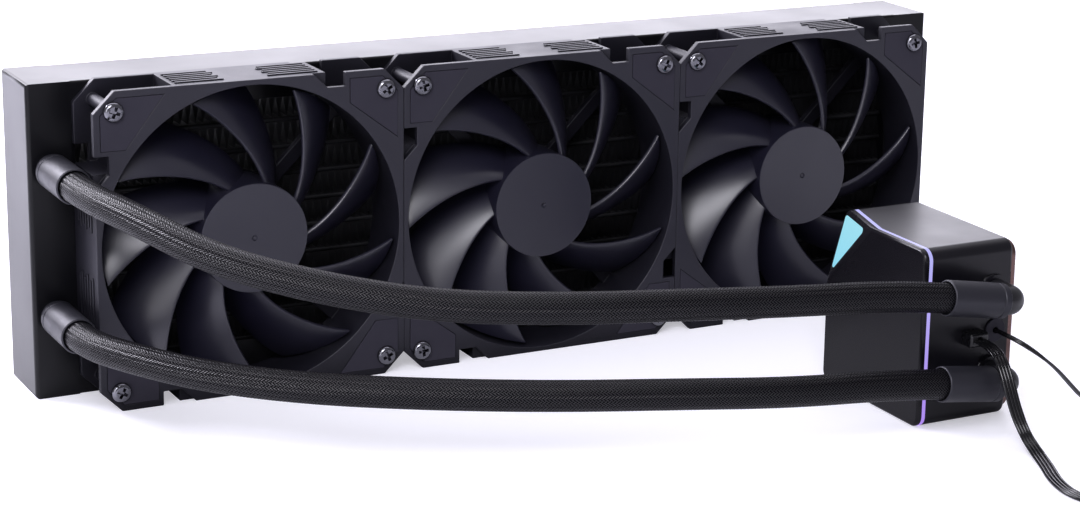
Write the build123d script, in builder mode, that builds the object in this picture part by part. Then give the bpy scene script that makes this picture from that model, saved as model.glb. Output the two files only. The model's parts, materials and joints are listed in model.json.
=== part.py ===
from build123d import *
import math
import os

os.makedirs("parts", exist_ok=True)

# All in one liquid cooler for a processor, in millimetres.
# +X runs along the radiator towards the pump block, +Y runs from the fans through the
# radiator, and +Z is up. The origin is the middle of the radiator's lower face, on the table.

# Radiator
tank_length = 16.5
rad_step = 0.8
rad_thick = 31.5
rail_wall = 1.2
rail_lip = 12.5
case_hole = 2.5
tank_edge = 1.6
header_thick = 1.5
header_gap = 0.2
tube_count = 10
tube_thick = 2.0
core_depth = 23.0
fin_pitch = 24.0
fin_thick = 0.4
fin_gap = 0.1
fin_end_gap = 0.5

# Fans
fan_count = 3
fan_size = 120.0
fan_depth = 26.0
fan_corner = 8.0
fan_rim = 2.0
barrel_wall = 1.6
flange_thick = 4.0
screw_inset = 7.5
screw_hole = 4.3
post_radius = 4.8
side_pad_length = 59.0
notch_place = 32.8
notch_width = 7.0
notch_depth = 5.4
strut_width = 5.0
strut_thick = 3.0
motor_disc = 42.0
motor_length = 11.0
motor_gap = 1.5
motor_rim = 2.0
motor_poles = 4
motor_pole_width = 3.0
motor_sleeve = 2.5
corner_pad_thick = 1.2
corner_pad_gap = 0.3
corner_pad_margin = 2.6
corner_pad_clip = 8.8
corner_pad_drop = 21.8
corner_pad_foot = 11.8
corner_pad_reach = 26.4

# Fan rotors
rotor_turns = (9, 0, -8)
blade_count = 9
hub_radius = 20.9
hub_length = 20.5
hub_wall = 1.6
hub_recess = 0.3
blade_tip_gap = 1.2
blade_front = 3.0
blade_back = 20.0
blade_camber = 1.8
root_thick = 2.0
tip_thick = 1.2
shaft_radius = 1.5
shaft_length = 19.0
bearing_radius = 4.0
bearing_cover = 1.0
hub_boss_radius = 3.0
hub_boss_length = 6.0
hub_dimple = 1.0
hub_edge = 0.5
running_gap = 0.05
seat_gap = 0.02

# Fan screws
screw_head_radius = 3.5
screw_head_height = 1.9
screw_shank_radius = 1.5
screw_reach = 2.0

# Hoses and fittings
hose_diameter = 11.2
ferrule_diameter = 13.2
ferrule_length = 26.0
ferrule_edge = 0.7
ferrule_groove = 3.0
mouth_gap = 0.3
mouth_depth = 6.0
hose_entry = 5.3
barb_radius = 3.2
barb_length = 18.0
hose_lead_out = 27.0
fitting_inset = 8.0
fitting_heights = {"upper": 87.0, "lower": 31.5}
fitting_collar = 2.2
fitting_step = 0.8
spigot_radius = 4.0
spigot_depth = 7.0

# Pump block
pump_front_x = 82.4
pump_depth = 40.0
pump_near_y = -184.0
pump_width = 64.7
pump_height = 68.1
pump_edge = 4.5
cap_thick = 2.2
cap_bevel = 0.8
light_thick = 1.4
housing_wall = 2.4
housing_round = 1.6
corner_cut = {"x": 8.4, "y": 30.4, "z": 30.4}
window_rim = {"front": 0.18, "top": 0.08, "far": 0.03}
window_corner = 1.2
window_thick = 1.5
plate_thick = 2.6
plate_inset = 1.6
plate_corner = 5.0
plate_edge = 0.5
plate_screw_inset = 6.6
plate_screw_head = 2.4
plate_screw_shank = 1.3
oversize = 1.0

# Elbows on the pump block, which stand in a shallow pocket of the housing's near side.
# Their heights and those of the cable exits are shares of the pump block's height.
pocket_x = 109.2
pocket_depth = 0.7
elbow_x = 114.2
elbow_out = 13.6
elbow_shares = {"upper": 0.7195, "lower": 0.257}
elbow_tilts = {"upper": 9.5, "lower": 7.5}
elbow_radius = 5.2
elbow_bend = 5.5
elbow_straight = 0.6
stem_depth = 7.6
port_collar = 6.8
port_collar_height = 1.2

# Inside the pump block
chamber_radius = 23.0
chamber_wall = 2.0
chamber_plate = 2.0
can_radius = 10.5
can_length = 10.5
can_wall = 1.3
impeller_radius = 13.0
impeller_gap = 0.8
vane_count = 6
impeller_shaft_radius = 1.2
stator_radius = 19.0
stator_slots = 6
slot_depth = 4.0
slot_width = 3.0
impeller_length = 17.0
vane_thick = 1.2
gasket_thick = 1.5
cavity_gap = 0.1
housing_floor = 0.9
board_radius = 21.5
board_thick = 1.6
board_post_radius = 1.6
board_post_height = 1.5
plate_screw_length = 8.0
plate_screw_sink = 1.2
fin_block = 26.0
fin_block_height = 2.0
fin_slots = 7

# Cables
lead_exit_x = 116.0
lead_exit_share = 0.4993
lead_diameter = 2.2
grommet_radius = 3.6
grommet_lip = 0.9
ribbon_exit_x = 104.8
ribbon_exit_share = 0.4846
ribbon_width = 5.2
ribbon_thick = 2.6
ribbon_layer = 1.5
ribbon_plug_size = (8.0, 5.2)
ribbon_plug_out = 6.0
ribbon_plug_edge = 0.6
ribbon_entry = 3.0
lead_coil_middle = (190.0, -178.5)
lead_coil_radius = 13.0
lead_coil_turns = 3.25
ribbon_coil_middle = (134.0, -274.0)
ribbon_coil_radius = 27.0
ribbon_coil_turns = 1.5
lead_tail = 15.0
ribbon_tail = 24.0
ribbon_end_angle = 45
connector_gap = 0.4
connector_edge = 0.5
lead_connector_size = (7.8, 5.6, 12.0)
ribbon_connector_size = (10.4, 5.6, 13.0)

# Worked out from the sizes above
core_length = fan_count * fan_size
core_half = core_length / 2
rad_height = fan_size - rad_step
fan_bore = fan_size - 2 * fan_rim
screw_spacing = fan_size - 2 * screw_inset
fitting_x = -(core_half + fitting_inset)
rad_front_y = -rad_thick / 2
fan_front_y = rad_front_y - fan_depth
fan_mid_z = fan_size / 2
fan_xs = [(i - (fan_count - 1) / 2) * fan_size for i in range(fan_count)]
pump_back_x = pump_front_x + pump_depth
pump_mid_y = pump_near_y + pump_width / 2
pump_far_y = pump_near_y + pump_width
pump_mid_z = pump_height / 2
elbow_y = pump_near_y - elbow_out
elbow_heights = {level: share * pump_height for level, share in elbow_shares.items()}
pocket_low = elbow_heights["lower"] - port_collar
pocket_high = elbow_heights["upper"] + port_collar
lead_exit = (lead_exit_x, lead_exit_share * pump_height)
ribbon_exit = (ribbon_exit_x, ribbon_exit_share * pump_height)
chamber_x = elbow_x - port_collar - cavity_gap - chamber_plate


def write(name, builder):
    """Labels a finished piece and writes it under its name."""
    builder.part.label = name
    export_step(builder.part, "parts/" + name + ".step")


def direction_of(tilt):
    """The way a pump ferrule points: towards -X and up by tilt degrees."""
    return Vector(-math.cos(math.radians(tilt)), 0, math.sin(math.radians(tilt)))


# Radiator tanks, each a rounded box with two ports in the left one's front face
def tank(name, side):
    with BuildPart() as part:
        with BuildSketch(Plane.XY):
            with Locations((side * (core_half + tank_length / 2), 0)):
                Rectangle(tank_length, rad_thick)
        extrude(amount=rad_height)
        outer = part.faces().sort_by(Axis.X)[-1 if side > 0 else 0]
        fillet(outer.edges(), tank_edge)
        if side < 0:
            for height in fitting_heights.values():
                with BuildSketch(Plane.XZ.offset(-rad_front_y)):
                    with Locations((fitting_x, height)):
                        Circle(spigot_radius + seat_gap)
                extrude(amount=-spigot_depth, mode=Mode.SUBTRACT)
    write(name, part)


tank("radiator_left_tank", -1)
tank("radiator_right_tank", 1)


# Header plates, which close the tanks towards the core
with BuildPart() as headers:
    for side in (-1, 1):
        with BuildSketch(Plane.YZ.offset(side * core_half)):
            with Locations((0, rad_height / 2)):
                inset = rail_wall + header_gap
                Rectangle(rad_thick - 2 * inset, rad_height - 2 * inset)
        extrude(amount=-side * header_thick)
write("radiator_headers", headers)


# Side rails: folded channels with holes for the fan screws in the front lip and threaded
# holes for the case screws, here at their inner diameter, in the back lip
def rail(name, web_z, inward):
    with BuildPart() as part:
        with BuildSketch(Plane.YZ.offset(-core_half)):
            with Locations((0, web_z + inward * rail_lip / 2)):
                Rectangle(rad_thick, rail_lip)
            with Locations((0, web_z + inward * (rail_lip + rail_wall) / 2)):
                Rectangle(rad_thick - 2 * rail_wall, rail_lip - rail_wall, mode=Mode.SUBTRACT)
        extrude(amount=core_length)
        web = part.faces().sort_by(Axis.Z)[-1 if inward < 0 else 0]
        fillet(web.edges().filter_by(Axis.X), 0.8 * rail_wall)
        hole_z = fan_mid_z - inward * screw_spacing / 2
        for out, radius in ((1, screw_shank_radius + seat_gap), (-1, case_hole / 2)):
            with BuildSketch(Plane.XZ.offset(out * rad_thick / 2)):
                for x in fan_xs:
                    with Locations((x, hole_z)):
                        with GridLocations(screw_spacing, 1, 2, 1):
                            Circle(radius)
            extrude(amount=-out * 2 * rail_wall, mode=Mode.SUBTRACT)
    write(name, part)


rail("radiator_upper_rail", rad_height, -1)
rail("radiator_lower_rail", 0, 1)


# Core: flat tubes, with a corrugated fin strip in each gap between them
tube_half = core_half - header_thick
inner_height = rad_height - 2 * rail_wall
tube_pitch = inner_height / (tube_count + 1)
tube_heights = [rail_wall + tube_pitch * (i + 1) for i in range(tube_count)]
with BuildPart() as tubes:
    with BuildSketch(Plane.YZ.offset(-tube_half)):
        for height in tube_heights:
            with Locations((0, height)):
                Rectangle(core_depth, tube_thick)
    extrude(amount=2 * tube_half)
write("radiator_tubes", tubes)

fin_half = core_half - header_thick - fin_end_gap
fin_folds = 2 * round(2 * fin_half / fin_pitch)
with BuildPart() as fins:
    for layer in range(tube_count + 1):
        low = rail_wall + tube_pitch * layer + fin_gap + (tube_thick / 2 if layer else 0)
        high = rail_wall + tube_pitch * (layer + 1) - fin_gap - (tube_thick / 2 if layer < tube_count else 0)
        xs = [-fin_half + 2 * fin_half * i / fin_folds for i in range(fin_folds + 1)]
        under = [(x, low if i % 2 else high - fin_thick) for i, x in enumerate(xs)]
        over = [(x, z + fin_thick) for x, z in reversed(under)]
        with BuildSketch(Plane.XZ.offset(core_depth / 2)):
            with BuildLine():
                Polyline(*under, *over, close=True)
            make_face()
        extrude(amount=-core_depth)
write("radiator_fins", fins)


# Fan frames: two square flanges with clipped corners and turned notches, a round barrel
# between them, screw posts, flat side pads, and struts that carry the motor at the back
def front_plane(x, depth=0.0):
    """A plane facing the viewer of a fan at x, depth behind the fan's front face."""
    return Plane(origin=(x, fan_front_y + depth, fan_mid_z), x_dir=(1, 0, 0), z_dir=(0, -1, 0))


half = fan_size / 2
screw_half = screw_spacing / 2
notch_outline = [
    (notch_place - notch_width / 2 - notch_depth, half),
    (notch_place - notch_width / 2, half - notch_depth),
    (notch_place + notch_width / 2, half - notch_depth),
    (notch_place + notch_width / 2, half),
]
# One rubber corner pad as seen from the front at the upper left
pad_outline = [
    (corner_pad_reach - half, half - corner_pad_margin),
    (corner_pad_clip - half, half - corner_pad_margin),
    (corner_pad_margin - half, half - corner_pad_clip),
    (corner_pad_margin - half, half - corner_pad_drop),
    (corner_pad_foot - half, half - corner_pad_drop),
]


def flange_sketch():
    outline = Rectangle(fan_size, fan_size)
    chamfer(outline.vertices(), fan_corner)
    with PolarLocations(0, 4):
        Polygon(*notch_outline, align=None, mode=Mode.SUBTRACT)
    Circle(fan_bore / 2, mode=Mode.SUBTRACT)
    with GridLocations(screw_spacing, screw_spacing, 2, 2):
        Circle(screw_hole / 2, mode=Mode.SUBTRACT)


def fan_frame(name, x):
    with BuildPart() as frame:
        with BuildSketch(front_plane(x)):
            flange_sketch()
        extrude(amount=-flange_thick)
        with BuildSketch(front_plane(x, fan_depth - flange_thick)):
            flange_sketch()
        extrude(amount=-flange_thick)
        with BuildSketch(front_plane(x, flange_thick)):
            Circle(fan_bore / 2 + barrel_wall)
            with PolarLocations(0, 4):
                with Locations((0, half - half / 8)):
                    Rectangle(side_pad_length, half / 4)
            with GridLocations(screw_spacing, screw_spacing, 2, 2):
                Circle(post_radius)
                Circle(screw_hole / 2, mode=Mode.SUBTRACT)
            Circle(fan_bore / 2, mode=Mode.SUBTRACT)
        extrude(amount=-(fan_depth - 2 * flange_thick))
        with BuildSketch(front_plane(x, fan_depth - strut_thick)):
            with PolarLocations(0, 4, start_angle=45):
                with Locations((half / 2, 0)):
                    Rectangle(half, strut_width)
            Circle(fan_bore / 2 + barrel_wall / 2, mode=Mode.INTERSECT)
            Circle(motor_disc / 2)
            Circle(bearing_radius + seat_gap, mode=Mode.SUBTRACT)
        extrude(amount=-strut_thick)
        with BuildSketch(front_plane(x)):
            with PolarLocations(0, 4):
                Polygon(*pad_outline, align=None)
        extrude(amount=-corner_pad_thick, mode=Mode.SUBTRACT)
    write(name, frame)


def fan_pads(name, x):
    with BuildPart() as pads:
        with BuildSketch(front_plane(x)):
            with BuildSketch(mode=Mode.PRIVATE) as pad:
                Polygon(*pad_outline, align=None)
                offset(amount=-corner_pad_gap, kind=Kind.INTERSECTION)
            with PolarLocations(0, 4):
                add(pad.sketch)
            with GridLocations(screw_spacing, screw_spacing, 2, 2):
                Circle(screw_hole / 2, mode=Mode.SUBTRACT)
            Circle(fan_bore / 2, mode=Mode.SUBTRACT)
        extrude(amount=-corner_pad_thick)
    write(name, pads)


# Fan rotors: a cup-shaped hub with nine swept blades. At each radius the leading edge
# lies near the front and the trailing edge near the back; both angles are in degrees
# from +X, and the blade flattens and sweeps forward from root to tip.
blade_tip = fan_bore / 2 - blade_tip_gap
blade_stations = [
    (0.93 * hub_radius, 66.5, 31.0),
    (hub_radius + 0.34 * (blade_tip - hub_radius), 83.0, 55.0),
    (hub_radius + 0.70 * (blade_tip - hub_radius), 95.5, 70.0),
    (1.05 * blade_tip, 105.5, 82.0),
]


def blade_section(x, radius, lead, trail, thick):
    """One cambered section of a blade, square to the radius at its middle."""
    middle = math.radians((lead + trail) / 2)
    chord_half = radius * math.tan(math.radians((lead - trail) / 2))
    centre = (x + radius * math.cos(middle), fan_front_y, fan_mid_z + radius * math.sin(middle))
    along = (-math.sin(middle), 0, math.cos(middle))
    outward = (math.cos(middle), 0, math.sin(middle))
    mid_y = -(blade_front + blade_back) / 2 + blade_camber
    with BuildSketch(Plane(origin=centre, x_dir=along, z_dir=outward)) as section:
        with BuildLine():
            Polyline(
                (chord_half, -blade_front),
                (0, mid_y),
                (-chord_half, -blade_back),
                (-chord_half, -blade_back - thick / 2),
                (0, mid_y - thick),
                (chord_half, -blade_front - thick / 2),
                close=True,
            )
        make_face()
    return section.sketch.face()


def fan_rotor(name, x, turn):
    """A rotor standing still, turned by turn degrees anticlockwise as seen from the front."""
    sections = []
    for i, (radius, lead, trail) in enumerate(blade_stations):
        share = i / (len(blade_stations) - 1)
        sections.append(blade_section(x, radius, lead, trail, root_thick + (tip_thick - root_thick) * share))
    with BuildPart() as blade:
        loft(sections, ruled=True)
        with BuildSketch(front_plane(x)):
            Circle(blade_tip)
            Circle(hub_radius - hub_wall / 2, mode=Mode.SUBTRACT)
        extrude(amount=-fan_depth, mode=Mode.INTERSECT)
    with BuildPart() as rotor:
        with BuildSketch(front_plane(x, hub_recess)):
            Circle(hub_radius)
        extrude(amount=-hub_length)
        chamfer(rotor.faces().sort_by(Axis.Y)[0].edges(), hub_edge)
        with BuildSketch(front_plane(x, hub_recess + hub_wall)):
            Circle(hub_radius - hub_wall)
            Circle(hub_boss_radius, mode=Mode.SUBTRACT)
        extrude(amount=-hub_length, mode=Mode.SUBTRACT)
        with BuildSketch(front_plane(x, hub_recess + hub_wall)):
            Circle(shaft_radius + seat_gap)
        extrude(amount=-hub_length, mode=Mode.SUBTRACT)
        with BuildSketch(front_plane(x, hub_recess + hub_wall + hub_boss_length)):
            Circle(hub_boss_radius + hub_wall)
        extrude(amount=-hub_length, mode=Mode.SUBTRACT)
        with BuildSketch(front_plane(x, hub_recess)):
            Circle(hub_dimple)
        extrude(amount=-hub_wall / 3, mode=Mode.SUBTRACT)
        for i in range(blade_count):
            add(blade.part.rotate(Axis((x, 0, fan_mid_z), (0, -1, 0)), turn + i * 360 / blade_count))
    write(name, rotor)


def fan_shaft(name, x):
    with BuildPart() as shaft:
        with BuildSketch(front_plane(x, hub_recess + hub_wall)):
            Circle(shaft_radius)
        extrude(amount=-shaft_length)
    write(name, shaft)


def fan_bearing(name, x):
    with BuildPart() as bearing:
        start = hub_recess + hub_wall + hub_boss_length + impeller_gap
        with BuildSketch(front_plane(x, start)):
            Circle(bearing_radius)
            Circle(shaft_radius + running_gap, mode=Mode.SUBTRACT)
        extrude(amount=-(fan_depth - start - bearing_cover))
        with BuildSketch(front_plane(x, fan_depth - bearing_cover)):
            Circle(bearing_radius)
        extrude(amount=-bearing_cover)
    write(name, bearing)


def fan_stator(name, x):
    """Pole arms on a sleeve round the bearing, with a pole shoe across the end of each."""
    stator_out = hub_radius - hub_wall - motor_gap
    with BuildPart() as stator:
        with BuildSketch(front_plane(x, fan_depth - strut_thick - motor_length)):
            Circle(stator_out)
            Circle(stator_out - motor_rim, mode=Mode.SUBTRACT)
            with PolarLocations(0, motor_poles, start_angle=180 / motor_poles):
                Rectangle(2 * stator_out, motor_rim, align=(Align.MIN, Align.CENTER), mode=Mode.SUBTRACT)
            with PolarLocations(0, motor_poles):
                Rectangle(stator_out - motor_rim / 2, motor_pole_width, align=(Align.MIN, Align.CENTER))
            Circle(bearing_radius + motor_sleeve)
            Circle(bearing_radius + seat_gap, mode=Mode.SUBTRACT)
        extrude(amount=-motor_length)
    write(name, stator)


def fan_screws(name, x):
    shank = fan_depth + rail_wall + screw_reach
    with BuildPart() as screws:
        with BuildSketch(front_plane(x, -screw_head_height)):
            with GridLocations(screw_spacing, screw_spacing, 2, 2):
                Circle(screw_head_radius)
        extrude(amount=-screw_head_height)
        chamfer(screws.faces().group_by(Axis.Y)[0].edges(), 0.4 * screw_head_height)
        with BuildSketch(front_plane(x)):
            with GridLocations(screw_spacing, screw_spacing, 2, 2):
                Circle(screw_shank_radius)
        extrude(amount=-shank)
    write(name, screws)


for number, x in enumerate(fan_xs, start=1):
    fan = "fan_" + str(number)
    fan_frame(fan + "_frame", x)
    fan_pads(fan + "_corner_pads", x)
    fan_rotor(fan + "_rotor", x, rotor_turns[number - 1])
    fan_shaft(fan + "_shaft", x)
    fan_bearing(fan + "_bearing", x)
    fan_stator(fan + "_stator", x)
    fan_screws(fan + "_screws", x)


# Hose fittings: a barb and collar in the tank, and crimped ferrules on all four hose ends
def tank_fitting(name, height):
    with BuildPart() as fitting:
        with BuildSketch(Plane.XZ.offset(-(rad_front_y + spigot_depth))):
            with Locations((fitting_x, height)):
                Circle(spigot_radius)
        extrude(amount=spigot_depth)
        with BuildSketch(Plane.XZ.offset(-rad_front_y)):
            with Locations((fitting_x, height)):
                Circle(ferrule_diameter / 2 - fitting_step)
        extrude(amount=fitting_collar)
        with BuildSketch(Plane.XZ.offset(-rad_front_y + fitting_collar)):
            with Locations((fitting_x, height)):
                Circle(barb_radius)
        extrude(amount=barb_length)
    write(name, fitting)


def ferrule(name, base, way, side):
    """A sleeve from base along way; side is any direction square to it."""
    outer = ferrule_diameter / 2
    groove = 0.4
    bore = barb_radius + seat_gap
    mouth = hose_diameter / 2 + mouth_gap
    with BuildPart() as sleeve:
        with BuildSketch(Plane(origin=base, x_dir=way, z_dir=side)):
            with BuildLine():
                Polyline(
                    (0, bore),
                    (0, outer - ferrule_edge),
                    (ferrule_edge, outer),
                    (ferrule_groove, outer),
                    (ferrule_groove + groove, outer - groove),
                    (ferrule_groove + 2 * groove, outer),
                    (ferrule_length - ferrule_edge / 2, outer),
                    (ferrule_length, outer - ferrule_edge / 2),
                    (ferrule_length, mouth),
                    (ferrule_length - mouth_depth, mouth),
                    (ferrule_length - mouth_depth, bore),
                    close=True,
                )
            make_face()
        revolve(axis=Axis(base, way))
    write(name, sleeve)


def elbow(name, height, tilt):
    corner = Vector(elbow_x, elbow_y, height)
    way = direction_of(tilt)
    with BuildPart() as bend:
        with BuildLine():
            route = FilletPolyline(
                (elbow_x, pump_near_y + stem_depth, height),
                (elbow_x, elbow_y, height),
                tuple(corner + way * (elbow_bend + elbow_straight)),
                radius=elbow_bend,
            )
        with BuildSketch(Plane(origin=route @ 0, z_dir=route % 0)):
            Circle(elbow_radius)
        sweep()
        with BuildSketch(Plane(origin=corner + way * (elbow_bend + elbow_straight), z_dir=way)):
            Circle(barb_radius)
        extrude(amount=barb_length)
    write(name, bend)


for level, height in fitting_heights.items():
    tank_fitting("tank_fitting_" + level, height)
    ferrule("tank_ferrule_" + level, (fitting_x, rad_front_y - fitting_collar, height), (0, -1, 0), (0, 0, 1))

for level, height in elbow_heights.items():
    tilt = elbow_tilts[level]
    way = direction_of(tilt)
    base = Vector(elbow_x, elbow_y, height) + way * (elbow_bend + elbow_straight)
    elbow("elbow_" + level, height, tilt)
    ferrule("pump_ferrule_" + level, tuple(base), tuple(way), (0, 1, 0))


# Hoses and cables follow straight runs joined by arcs as large as the runs allow
def arc_radii(points):
    spots = [Vector(*p) for p in points]
    radii = []
    for a, b, c in zip(spots, spots[1:], spots[2:]):
        turn = math.radians((b - a).get_angle(c - b))
        radii.append(0.45 * min((b - a).length, (c - b).length) / math.tan(turn / 2))
    return radii


def cord(name, points, diameter):
    radii = arc_radii(points)
    with BuildPart() as tube:
        with BuildLine():
            route = FilletPolyline(*points, radius=radii)
        with BuildSketch(Plane(origin=route @ 0, z_dir=route % 0)):
            Circle(diameter / 2)
        sweep()
    section = math.pi * diameter**2 / 4
    print(name, "length", round(route.length, 1), "radii", [round(r) for r in radii])
    print(name, "volume over section times length", round(tube.part.volume / section / route.length, 4))
    write(name, tube)


def hose_ends(level):
    """The hose's ends, one inside the tank's ferrule and one inside the pump's."""
    mouth_y = rad_front_y - fitting_collar - ferrule_length
    start = (fitting_x, mouth_y + hose_entry, fitting_heights[level])
    reach = elbow_bend + elbow_straight + ferrule_length - hose_entry
    corner = Vector(elbow_x, elbow_y, elbow_heights[level])
    end = corner + direction_of(elbow_tilts[level]) * reach
    before = corner + direction_of(elbow_tilts[level]) * (reach + hose_lead_out)
    return start, tuple(before), tuple(end)


def hose(level, bends):
    """A hose through its bends, each a share of the way from tank to elbow along X, then y and z."""
    start, before, end = hose_ends(level)
    between = [(fitting_x + share * (elbow_x - fitting_x), y, z) for share, y, z in bends]
    cord("hose_" + level, [start, *between, before, end], hose_diameter)


upper_bends = [
    (0.0, -59.4, 87.0),
    (0.0268, -90.0, 85.2),
    (0.0761, -121.8, 77.9),
    (0.1585, -149.7, 72.8),
    (0.2694, -172.0, 68.0),
    (0.4054, -187.2, 66.1),
    (0.5510, -195.0, 64.2),
    (0.6883, -197.9, 61.0),
]
hose("upper", upper_bends)

lower_bends = [
    (0.0, -53.6, 31.5),
    (0.0285, -77.5, 32.0),
    (0.0850, -103.9, 31.0),
    (0.1760, -130.2, 30.6),
    (0.2905, -152.8, 30.5),
    (0.4206, -171.4, 29.8),
    (0.5582, -185.2, 28.8),
    (0.6896, -194.2, 26.4),
]
hose("lower", lower_bends)


# Pump block: a rounded box with one corner cut off. A dark cap covers the display face
# and the cut, then comes a thin light ring, and then the housing.
cut_normal = Vector(-1 / corner_cut["x"], 1 / corner_cut["y"], 1 / corner_cut["z"]).normalized()
cut_start = Vector(pump_front_x, pump_far_y - corner_cut["y"], pump_height)


def pump_block(x_start, x_end, inset, cut_inset):
    with BuildPart() as block:
        with BuildSketch(Plane.YZ.offset(x_start)):
            with Locations((pump_mid_y, pump_mid_z)):
                RectangleRounded(pump_width - 2 * inset, pump_height - 2 * inset, pump_edge - inset)
        extrude(amount=x_end - x_start)
        split(bisect_by=Plane(origin=cut_start - cut_normal * cut_inset, z_dir=cut_normal), keep=Keep.BOTTOM)
    return block.part


# The window fills the cut between three rims, each a share of the way from one side of
# the cut to the corner opposite: off the front face, off the top face and off the far face
near_corner = cut_start
low_corner = Vector(pump_front_x, pump_far_y, pump_height - corner_cut["z"])
far_corner = Vector(pump_front_x + corner_cut["x"], pump_far_y, pump_height)
cut_plane = Plane(origin=cut_start, x_dir=low_corner - near_corner, z_dir=cut_normal)


def window_sketch(gap=0.0):
    off_front = (far_corner - near_corner) * window_rim["front"]
    off_top = (low_corner - near_corner) * window_rim["top"]
    size = 1 - window_rim["front"] - window_rim["top"] - window_rim["far"]
    first = near_corner + off_front + off_top
    spots = [first, first + (low_corner - near_corner) * size, first + (far_corner - near_corner) * size]
    outline = Polygon(*[tuple(cut_plane.to_local_coords(spot))[:2] for spot in spots], align=None)
    fillet(outline.vertices(), window_corner)
    if gap:
        offset(amount=-gap)


with BuildPart() as cap:
    add(pump_block(pump_front_x, pump_back_x, 0, 0))
    front_edges = cap.faces().sort_by(Axis.X)[0].edges()
    crease_first = front_edges.sort_by(lambda edge: abs(cut_plane.to_local_coords(edge @ 0.5).Z))
    chamfer(crease_first[1:], cap_bevel)
    add(pump_block(pump_front_x + cap_thick, pump_back_x, -oversize, cap_thick), mode=Mode.SUBTRACT)
    with BuildSketch(cut_plane):
        window_sketch()
    extrude(amount=-window_thick, mode=Mode.SUBTRACT)
write("pump_display_cap", cap)

with BuildPart() as window:
    with BuildSketch(cut_plane):
        window_sketch(seat_gap)
    extrude(amount=-(window_thick - seat_gap))
write("pump_light_window", window)

with BuildPart() as light:
    add(pump_block(pump_front_x + cap_thick, pump_back_x, 0, cap_thick))
    behind = cap_thick + light_thick
    add(pump_block(pump_front_x + behind, pump_back_x, -oversize, behind), mode=Mode.SUBTRACT)
write("pump_light_ring", light)

housing_x = pump_front_x + cap_thick + light_thick
cavity_x = housing_x + housing_wall
screw_grid = (pump_width - 2 * plate_screw_inset, pump_height - 2 * plate_screw_inset)
boss_size = 2 * (plate_screw_inset - housing_wall)


def pump_plane(x):
    """A plane square to the pump's axis at x, centred on that axis."""
    return Plane(origin=(x, pump_mid_y, pump_mid_z), x_dir=(0, 1, 0), z_dir=(1, 0, 0))


def face_plane(out=0.0):
    """The plane of the fitting face, out mm in front of it, with X and Z as in the part."""
    return Plane(origin=(0, pump_near_y - out, 0), x_dir=(1, 0, 0), z_dir=(0, -1, 0))


def cavity_sketch(gap=0.0):
    Rectangle(pump_width - 2 * (housing_wall + gap), pump_height - 2 * (housing_wall + gap))
    with GridLocations(*screw_grid, 2, 2):
        Rectangle(boss_size + 2 * gap, boss_size + 2 * gap, mode=Mode.SUBTRACT)


def port_sketch(radius, mode=Mode.ADD):
    for height in elbow_heights.values():
        with Locations((elbow_x, height)):
            Circle(radius, mode=mode)


with BuildPart() as housing:
    add(pump_block(housing_x, pump_back_x, 0, cap_thick + light_thick))
    fillet(housing.faces().sort_by(Axis.X)[-1].edges(), housing_round)
    with BuildSketch(pump_plane(chamber_x)):
        cavity_sketch()
    extrude(amount=pump_depth, mode=Mode.SUBTRACT)
    with BuildSketch(pump_plane(cavity_x)):
        Circle(chamber_radius)
    extrude(amount=pump_depth, mode=Mode.SUBTRACT)
    with BuildSketch(pump_plane(cavity_x)):
        with PolarLocations(board_radius - board_post_radius, 3):
            Circle(board_post_radius)
    extrude(amount=board_post_height)
    with BuildSketch(pump_plane(pump_back_x)):
        with GridLocations(*screw_grid, 2, 2):
            Circle(plate_screw_shank + seat_gap)
    extrude(amount=-plate_screw_length, mode=Mode.SUBTRACT)
    with BuildSketch(face_plane()):
        with Locations((pocket_x, pocket_low)):
            Rectangle(pump_depth, pocket_high - pocket_low, align=(Align.MIN, Align.MIN))
    extrude(amount=-pocket_depth, mode=Mode.SUBTRACT)
    with BuildSketch(face_plane(port_collar_height)):
        port_sketch(port_collar)
    extrude(amount=-(stem_depth + port_collar_height + housing_floor))
    with BuildSketch(face_plane(port_collar_height)):
        port_sketch(elbow_radius + running_gap)
    extrude(amount=-(stem_depth + port_collar_height + running_gap), mode=Mode.SUBTRACT)
    with BuildSketch(face_plane()):
        with Locations(lead_exit):
            Circle(grommet_radius + seat_gap)
        with Locations(ribbon_exit):
            Rectangle(ribbon_plug_size[0] + 2 * seat_gap, ribbon_plug_size[1] + 2 * seat_gap)
    extrude(amount=-housing_wall, mode=Mode.SUBTRACT)
write("pump_housing", housing)


# Wet side: a plate with a can for the rotor, a chamber wall, a gasket and the cold plate
gasket_x = pump_back_x - gasket_thick
with BuildPart() as chamber:
    with BuildSketch(pump_plane(chamber_x)):
        cavity_sketch(cavity_gap)
    extrude(amount=chamber_plate)
    with BuildSketch(pump_plane(chamber_x)):
        Circle(chamber_radius)
        Circle(chamber_radius - chamber_wall, mode=Mode.SUBTRACT)
    extrude(amount=gasket_x - chamber_x)
    with BuildSketch(pump_plane(chamber_x - can_length)):
        Circle(can_radius)
    extrude(amount=can_length)
    with BuildSketch(pump_plane(chamber_x - can_length + can_wall)):
        Circle(can_radius - can_wall)
    extrude(amount=can_length + chamber_plate, mode=Mode.SUBTRACT)
    with BuildSketch(pump_plane(chamber_x - can_length + can_wall)):
        Circle(impeller_shaft_radius + seat_gap)
    extrude(amount=-0.7 * can_wall, mode=Mode.SUBTRACT)
write("pump_chamber", chamber)

with BuildPart() as gasket:
    with BuildSketch(pump_plane(gasket_x)):
        Circle(chamber_radius)
        Circle(chamber_radius - chamber_wall, mode=Mode.SUBTRACT)
    extrude(amount=gasket_thick)
write("pump_gasket", gasket)

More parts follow.
